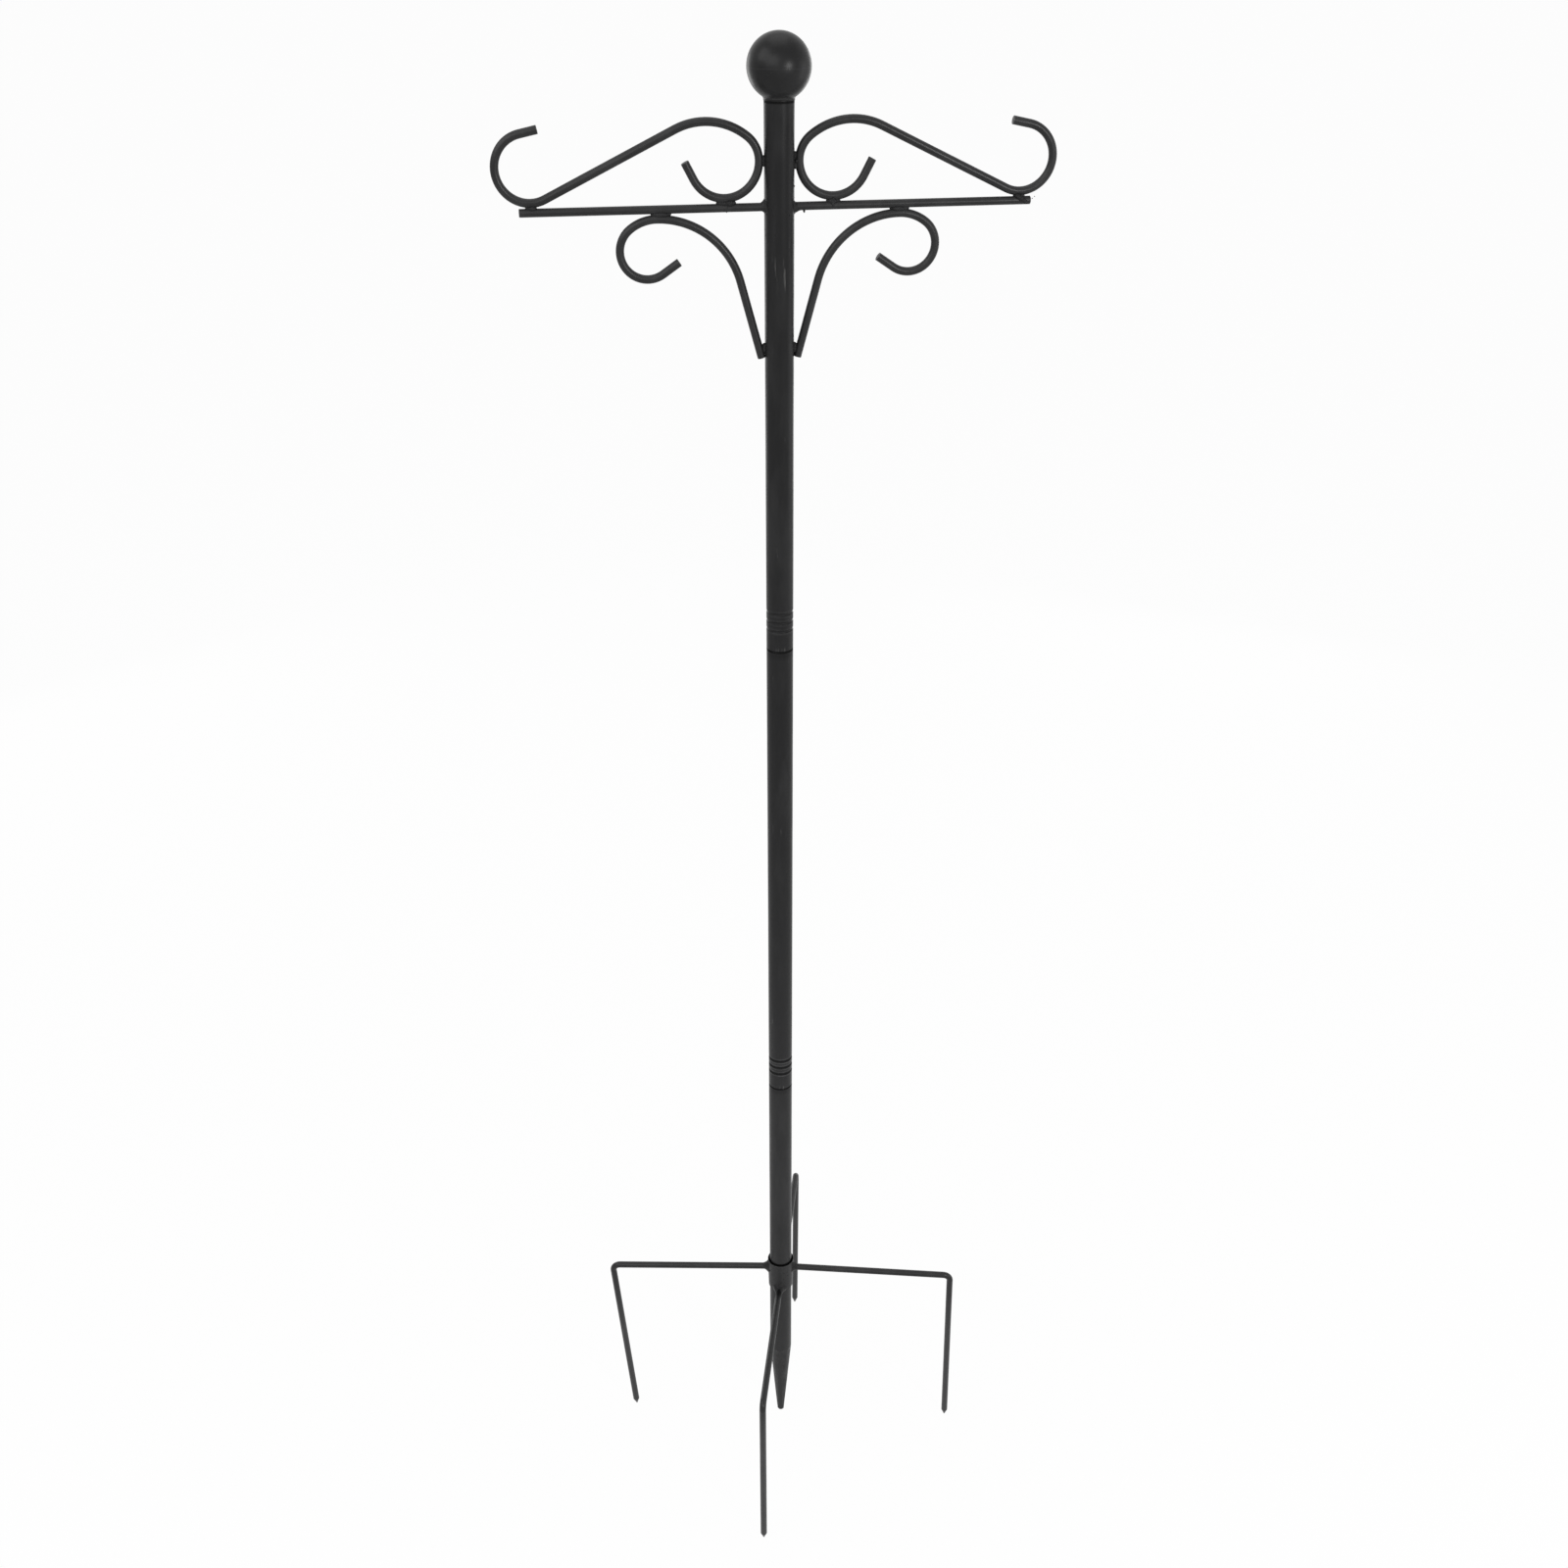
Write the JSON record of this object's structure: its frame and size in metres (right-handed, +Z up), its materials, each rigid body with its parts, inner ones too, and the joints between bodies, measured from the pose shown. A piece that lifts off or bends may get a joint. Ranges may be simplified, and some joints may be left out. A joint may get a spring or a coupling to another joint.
{
  "type": "hanging plant stand",
  "caption": "Tall slender stand with scrolled arms for hanging pots, a ball on top, and a pointed pole that slides through a pronged ground bracket.",
  "frame": {"origin": "on the pole's axis, level with the ground points of the prongs", "axes": "+Z up along the pole, X along the two arms, -Y towards the front prong"},
  "size_m": [0.466, 0.3627, 1.5641],
  "materials": {
    "finial": "satin black moulded plastic",
    "pole": "satin black powder coat on steel tube",
    "coupling": "dark coated steel sleeve",
    "rod": "satin black powder coat on steel rod",
    "weld": "powder coated weld bead",
    "bracket": "satin black powder coat on steel"
  },
  "bodies": {
    "ground_bracket": {"bracket_collar": "bracket", "left_prong": "bracket", "right_prong": "bracket", "front_prong": "bracket", "back_prong": "bracket", "bracket_welds": "weld"},
    "bottom_section": {"bottom_tube": "pole"},
    "middle_section": {"middle_tube": "pole", "lower_coupling": "coupling"},
    "top_section": {"top_tube": "pole", "upper_coupling": "coupling", "finial_ball": "finial", "left_bar": "rod", "right_bar": "rod", "left_upper_scroll": "rod", "right_upper_scroll": "rod", "left_lower_scroll": "rod", "right_lower_scroll": "rod", "left_arm_welds": "weld", "right_arm_welds": "weld"}
  },
  "joints": [
    {"name": "pole_lift", "type": "slide", "parent": "ground_bracket", "child": "bottom_section", "axis": [0, 0, 1], "range_m": [0, 0.26]},
    {"name": "middle_pull", "type": "slide", "parent": "bottom_section", "child": "middle_section", "axis": [0, 0, 1], "range_m": [0, 0.08]},
    {"name": "top_turn", "type": "hinge", "parent": "middle_section", "child": "top_section", "pos_m": [0, 0, 1.033], "axis": [0, 0, 1], "continuous": true}
  ]
}
